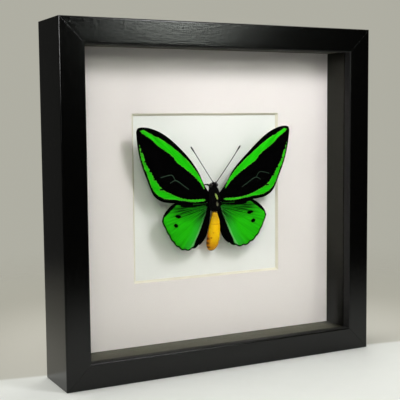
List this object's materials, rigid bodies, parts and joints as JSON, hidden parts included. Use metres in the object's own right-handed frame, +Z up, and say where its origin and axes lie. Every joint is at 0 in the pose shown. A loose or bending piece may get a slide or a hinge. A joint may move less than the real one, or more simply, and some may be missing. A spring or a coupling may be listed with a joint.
{
  "type": "framed butterfly specimen",
  "caption": "Spread birdwing butterfly pinned behind glass in a square deep box frame with a windowed mat, standing or wall-hung.",
  "frame": {"origin": "centre of the frame's footprint, on the surface it stands on", "axes": "+X to the right seen from the front, +Y towards the back board, +Z up; the glass faces -Y"},
  "size_m": [0.25, 0.044, 0.25],
  "materials": {
    "frame_black": "satin black stained moulding with fine grain",
    "liner_black": "matt black spacer strip",
    "clear_glass": "clear float glass",
    "mat_white": "matt off-white board with a cream bevelled edge",
    "card_white": "matt white card",
    "hardboard": "brown pressed fibreboard",
    "steel": "zinc-plated sheet",
    "wing_scales": "fine scales, bright green bands on velvet black",
    "body_black": "black hairy chitin",
    "body_gold": "golden yellow downy chitin"
  },
  "bodies": {
    "root": {"rail_top": "frame_black", "rail_bottom": "frame_black", "rail_left": "frame_black", "rail_right": "frame_black", "liner_top": "liner_black", "liner_bottom": "liner_black", "liner_left": "liner_black", "liner_right": "liner_black", "glass": "clear_glass", "mat_board": "mat_white", "mounting_card": "card_white", "back_board": "hardboard", "tab_bottom_1": "steel", "tab_bottom_2": "steel", "tab_left_1": "steel", "tab_left_2": "steel", "tab_top_1": "steel", "tab_top_2": "steel", "tab_right_1": "steel", "tab_right_2": "steel", "hanger": "steel", "hanger_nail_left": "steel", "hanger_nail_right": "steel", "thorax": "body_black", "head": "body_black", "abdomen": "body_gold", "forewing_left": "wing_scales", "forewing_right": "wing_scales", "hindwing_left": "wing_scales", "hindwing_right": "wing_scales", "antenna_left": "body_black", "antenna_right": "body_black", "leg_front_left": "body_black", "leg_front_right": "body_black", "leg_middle_left": "body_black", "leg_middle_right": "body_black", "leg_hind_left": "body_black", "leg_hind_right": "body_black", "insect_pin": "steel"}
  },
  "joints": []
}
